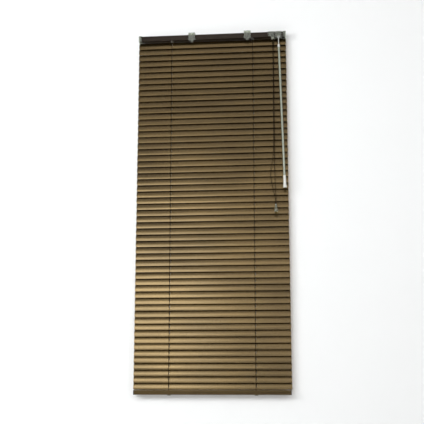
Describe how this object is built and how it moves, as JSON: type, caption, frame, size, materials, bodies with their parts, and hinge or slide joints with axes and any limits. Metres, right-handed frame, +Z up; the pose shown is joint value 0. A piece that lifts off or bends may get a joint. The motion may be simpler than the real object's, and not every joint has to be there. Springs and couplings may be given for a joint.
{
  "type": "venetian blind",
  "caption": "Narrow aluminium venetian blind, lowered and closed, with headrail, tilt mechanism, wand, pull cords, ladder cords, slats and bottom rail.",
  "frame": {"origin": "midway along the headrail, on the plane of the brackets' top faces, which is the ceiling or lintel that the blind is screwed to", "axes": "+X along the slats to the right as seen from the room, +Y from the room towards the window, +Z up"},
  "size_m": [0.52, 0.04, 1.252],
  "materials": {
    "slat_paint": "satin metallic bronze enamel",
    "rail_paint": "satin metallic bronze enamel",
    "headrail_paint": "satin dark brown enamel",
    "clear_plastic": "clear, slightly cloudy",
    "white_plastic": "moulded, satin",
    "brown_plastic": "moulded, matt",
    "steel": "zinc plated",
    "cord": "braided polyester cord"
  },
  "bodies": {
    "headrail": {"headrail": "headrail_paint", "end_cap_left": "clear_plastic", "end_cap_right": "clear_plastic", "bracket_left": "clear_plastic", "bracket_right": "clear_plastic", "cradle_left": "white_plastic", "cradle_right": "white_plastic", "tilter_housing": "clear_plastic", "cord_lock": "clear_plastic", "lift_cord_left": "cord", "lift_cord_right": "cord", "pull_cord_left": "cord", "pull_cord_right": "cord", "lower_slats": "slat_paint"},
    "tilt_rod": {"tilt_rod": "steel", "drum_left": "white_plastic", "drum_right": "white_plastic", "tilter_gear": "white_plastic"},
    "tilter_worm": {"tilter_worm": "steel"},
    "wand_connector": {"wand_connector": "white_plastic"},
    "wand": {"wand": "clear_plastic", "wand_grip": "white_plastic"},
    "ladder_front": {"ladder_front_left": "cord", "ladder_front_right": "cord"},
    "ladder_back": {"ladder_back_left": "cord", "ladder_back_right": "cord"},
    "lock_roller": {"cord_lock_roller": "steel"},
    "bottom_rail": {"bottom_rail": "rail_paint", "rail_cap_left": "brown_plastic", "rail_cap_right": "brown_plastic", "rail_plug_left": "brown_plastic", "rail_plug_right": "brown_plastic"},
    "tassel": {"tassel": "clear_plastic"},
    "slat_01": {"slat_01": "slat_paint"},
    "slat_02": {"slat_02": "slat_paint"},
    "slat_03": {"slat_03": "slat_paint"},
    "slat_04": {"slat_04": "slat_paint"},
    "slat_05": {"slat_05": "slat_paint"},
    "slat_06": {"slat_06": "slat_paint"},
    "slat_07": {"slat_07": "slat_paint"},
    "slat_08": {"slat_08": "slat_paint"},
    "slat_09": {"slat_09": "slat_paint"},
    "slat_10": {"slat_10": "slat_paint"},
    "slat_11": {"slat_11": "slat_paint"},
    "slat_12": {"slat_12": "slat_paint"},
    "slat_13": {"slat_13": "slat_paint"},
    "slat_14": {"slat_14": "slat_paint"},
    "slat_15": {"slat_15": "slat_paint"},
    "slat_16": {"slat_16": "slat_paint"},
    "slat_17": {"slat_17": "slat_paint"},
    "slat_18": {"slat_18": "slat_paint"},
    "slat_19": {"slat_19": "slat_paint"},
    "slat_20": {"slat_20": "slat_paint"},
    "slat_21": {"slat_21": "slat_paint"},
    "slat_22": {"slat_22": "slat_paint"},
    "slat_23": {"slat_23": "slat_paint"},
    "slat_24": {"slat_24": "slat_paint"},
    "slat_25": {"slat_25": "slat_paint"},
    "slat_26": {"slat_26": "slat_paint"},
    "slat_27": {"slat_27": "slat_paint"}
  },
  "joints": [
    {"name": "tilt", "type": "hinge", "parent": "headrail", "child": "tilt_rod", "pos_m": [0, 0.0045, -0.015], "axis": [-1, 0, 0], "range_deg": [0, 140], "deforming": ["ladder_front_left", "ladder_front_right", "ladder_back_left", "ladder_back_right", "lower_slats"]},
    {"name": "worm_spin", "type": "hinge", "parent": "headrail", "child": "tilter_worm", "pos_m": [0.234, -0.0027, -0.00896], "axis": [0, -0.6428, -0.766], "range_deg": [0, 1680]},
    {"name": "wand_swing", "type": "hinge", "parent": "headrail", "child": "wand_connector", "pos_m": [0.234, -0.01903, -0.02922], "axis": [0, -1, 0], "range_deg": [0, 35]},
    {"name": "wand_spin", "type": "hinge", "parent": "wand_connector", "child": "wand", "pos_m": [0.23486, -0.01903, -0.06209], "axis": [0.0262, 0, -0.9997], "range_deg": [0, 1680]},
    {"name": "ladder_front_hang", "type": "hinge", "parent": "tilt_rod", "child": "ladder_front", "pos_m": [0, 0.00191, -0.02835], "axis": [-1, 0, 0], "range_deg": [-140, 0]},
    {"name": "ladder_back_hang", "type": "hinge", "parent": "tilt_rod", "child": "ladder_back", "pos_m": [0, 0.0104, -0.00275], "axis": [-1, 0, 0], "range_deg": [-140, 0]},
    {"name": "lift", "type": "slide", "parent": "headrail", "child": "bottom_rail", "axis": [0, 0, 1], "range_m": [0, 0.52], "deforming": ["lift_cord_left", "lift_cord_right", "pull_cord_left", "pull_cord_right"]},
    {"name": "tassel_drop", "type": "slide", "parent": "headrail", "child": "tassel", "axis": [0, 0, -1], "range_m": [0, 0.52]},
    {"name": "roller_slide", "type": "slide", "parent": "headrail", "child": "lock_roller", "axis": [0.5, 0, 0.866], "range_m": [0, 0.003]},
    {"name": "slat_01_tilt", "type": "hinge", "parent": "headrail", "child": "slat_01", "pos_m": [0, 0, -0.0392], "axis": [-1, 0, 0], "range_deg": [0, 140]},
    {"name": "slat_02_tilt", "type": "hinge", "parent": "headrail", "child": "slat_02", "pos_m": [0, 0, -0.0607], "axis": [-1, 0, 0], "range_deg": [0, 140]},
    {"name": "slat_03_tilt", "type": "hinge", "parent": "headrail", "child": "slat_03", "pos_m": [0, 0, -0.0822], "axis": [-1, 0, 0], "range_deg": [0, 140]},
    {"name": "slat_04_tilt", "type": "hinge", "parent": "headrail", "child": "slat_04", "pos_m": [0, 0, -0.1037], "axis": [-1, 0, 0], "range_deg": [0, 140]},
    {"name": "slat_05_tilt", "type": "hinge", "parent": "headrail", "child": "slat_05", "pos_m": [0, 0, -0.1252], "axis": [-1, 0, 0], "range_deg": [0, 140]},
    {"name": "slat_06_tilt", "type": "hinge", "parent": "headrail", "child": "slat_06", "pos_m": [0, 0, -0.1467], "axis": [-1, 0, 0], "range_deg": [0, 140]},
    {"name": "slat_07_tilt", "type": "hinge", "parent": "headrail", "child": "slat_07", "pos_m": [0, 0, -0.1682], "axis": [-1, 0, 0], "range_deg": [0, 140]},
    {"name": "slat_08_tilt", "type": "hinge", "parent": "headrail", "child": "slat_08", "pos_m": [0, 0, -0.1897], "axis": [-1, 0, 0], "range_deg": [0, 140]},
    {"name": "slat_09_tilt", "type": "hinge", "parent": "headrail", "child": "slat_09", "pos_m": [0, 0, -0.2112], "axis": [-1, 0, 0], "range_deg": [0, 140]},
    {"name": "slat_10_tilt", "type": "hinge", "parent": "headrail", "child": "slat_10", "pos_m": [0, 0, -0.2327], "axis": [-1, 0, 0], "range_deg": [0, 140]},
    {"name": "slat_11_tilt", "type": "hinge", "parent": "headrail", "child": "slat_11", "pos_m": [0, 0, -0.2542], "axis": [-1, 0, 0], "range_deg": [0, 140]},
    {"name": "slat_12_tilt", "type": "hinge", "parent": "headrail", "child": "slat_12", "pos_m": [0, 0, -0.2757], "axis": [-1, 0, 0], "range_deg": [0, 140]},
    {"name": "slat_13_tilt", "type": "hinge", "parent": "headrail", "child": "slat_13", "pos_m": [0, 0, -0.2972], "axis": [-1, 0, 0], "range_deg": [0, 140]},
    {"name": "slat_14_tilt", "type": "hinge", "parent": "headrail", "child": "slat_14", "pos_m": [0, 0, -0.3187], "axis": [-1, 0, 0], "range_deg": [0, 140]},
    {"name": "slat_15_tilt", "type": "hinge", "parent": "headrail", "child": "slat_15", "pos_m": [0, 0, -0.3402], "axis": [-1, 0, 0], "range_deg": [0, 140]},
    {"name": "slat_16_tilt", "type": "hinge", "parent": "headrail", "child": "slat_16", "pos_m": [0, 0, -0.3617], "axis": [-1, 0, 0], "range_deg": [0, 140]},
    {"name": "slat_17_tilt", "type": "hinge", "parent": "headrail", "child": "slat_17", "pos_m": [0, 0, -0.3832], "axis": [-1, 0, 0], "range_deg": [0, 140]},
    {"name": "slat_18_tilt", "type": "hinge", "parent": "headrail", "child": "slat_18", "pos_m": [0, 0, -0.4047], "axis": [-1, 0, 0], "range_deg": [0, 140]},
    {"name": "slat_19_tilt", "type": "hinge", "parent": "headrail", "child": "slat_19", "pos_m": [0, 0, -0.4262], "axis": [-1, 0, 0], "range_deg": [0, 140]},
    {"name": "slat_20_tilt", "type": "hinge", "parent": "headrail", "child": "slat_20", "pos_m": [0, 0, -0.4477], "axis": [-1, 0, 0], "range_deg": [0, 140]},
    {"name": "slat_21_tilt", "type": "hinge", "parent": "headrail", "child": "slat_21", "pos_m": [0, 0, -0.4692], "axis": [-1, 0, 0], "range_deg": [0, 140]},
    {"name": "slat_22_tilt", "type": "hinge", "parent": "headrail", "child": "slat_22", "pos_m": [0, 0, -0.4907], "axis": [-1, 0, 0], "range_deg": [0, 140]},
    {"name": "slat_23_tilt", "type": "hinge", "parent": "headrail", "child": "slat_23", "pos_m": [0, 0, -0.5122], "axis": [-1, 0, 0], "range_deg": [0, 140]},
    {"name": "slat_24_tilt", "type": "hinge", "parent": "headrail", "child": "slat_24", "pos_m": [0, 0, -0.5337], "axis": [-1, 0, 0], "range_deg": [0, 140]},
    {"name": "slat_25_tilt", "type": "hinge", "parent": "headrail", "child": "slat_25", "pos_m": [0, 0, -0.5552], "axis": [-1, 0, 0], "range_deg": [0, 140]},
    {"name": "slat_26_tilt", "type": "hinge", "parent": "headrail", "child": "slat_26", "pos_m": [0, 0, -0.5767], "axis": [-1, 0, 0], "range_deg": [0, 140]},
    {"name": "slat_27_tilt", "type": "hinge", "parent": "headrail", "child": "slat_27", "pos_m": [0, 0, -0.5982], "axis": [-1, 0, 0], "range_deg": [0, 140]}
  ],
  "couplings": [
    {"joint": "worm_spin", "follows": "tilt", "ratio": 12},
    {"joint": "wand_spin", "follows": "tilt", "ratio": 12},
    {"joint": "ladder_front_hang", "follows": "tilt", "ratio": -1},
    {"joint": "ladder_back_hang", "follows": "tilt", "ratio": -1},
    {"joint": "tassel_drop", "follows": "lift", "ratio": 1},
    {"joint": "slat_01_tilt", "follows": "tilt", "ratio": 1},
    {"joint": "slat_02_tilt", "follows": "tilt", "ratio": 1},
    {"joint": "slat_03_tilt", "follows": "tilt", "ratio": 1},
    {"joint": "slat_04_tilt", "follows": "tilt", "ratio": 1},
    {"joint": "slat_05_tilt", "follows": "tilt", "ratio": 1},
    {"joint": "slat_06_tilt", "follows": "tilt", "ratio": 1},
    {"joint": "slat_07_tilt", "follows": "tilt", "ratio": 1},
    {"joint": "slat_08_tilt", "follows": "tilt", "ratio": 1},
    {"joint": "slat_09_tilt", "follows": "tilt", "ratio": 1},
    {"joint": "slat_10_tilt", "follows": "tilt", "ratio": 1},
    {"joint": "slat_11_tilt", "follows": "tilt", "ratio": 1},
    {"joint": "slat_12_tilt", "follows": "tilt", "ratio": 1},
    {"joint": "slat_13_tilt", "follows": "tilt", "ratio": 1},
    {"joint": "slat_14_tilt", "follows": "tilt", "ratio": 1},
    {"joint": "slat_15_tilt", "follows": "tilt", "ratio": 1},
    {"joint": "slat_16_tilt", "follows": "tilt", "ratio": 1},
    {"joint": "slat_17_tilt", "follows": "tilt", "ratio": 1},
    {"joint": "slat_18_tilt", "follows": "tilt", "ratio": 1},
    {"joint": "slat_19_tilt", "follows": "tilt", "ratio": 1},
    {"joint": "slat_20_tilt", "follows": "tilt", "ratio": 1},
    {"joint": "slat_21_tilt", "follows": "tilt", "ratio": 1},
    {"joint": "slat_22_tilt", "follows": "tilt", "ratio": 1},
    {"joint": "slat_23_tilt", "follows": "tilt", "ratio": 1},
    {"joint": "slat_24_tilt", "follows": "tilt", "ratio": 1},
    {"joint": "slat_25_tilt", "follows": "tilt", "ratio": 1},
    {"joint": "slat_26_tilt", "follows": "tilt", "ratio": 1},
    {"joint": "slat_27_tilt", "follows": "tilt", "ratio": 1}
  ]
}
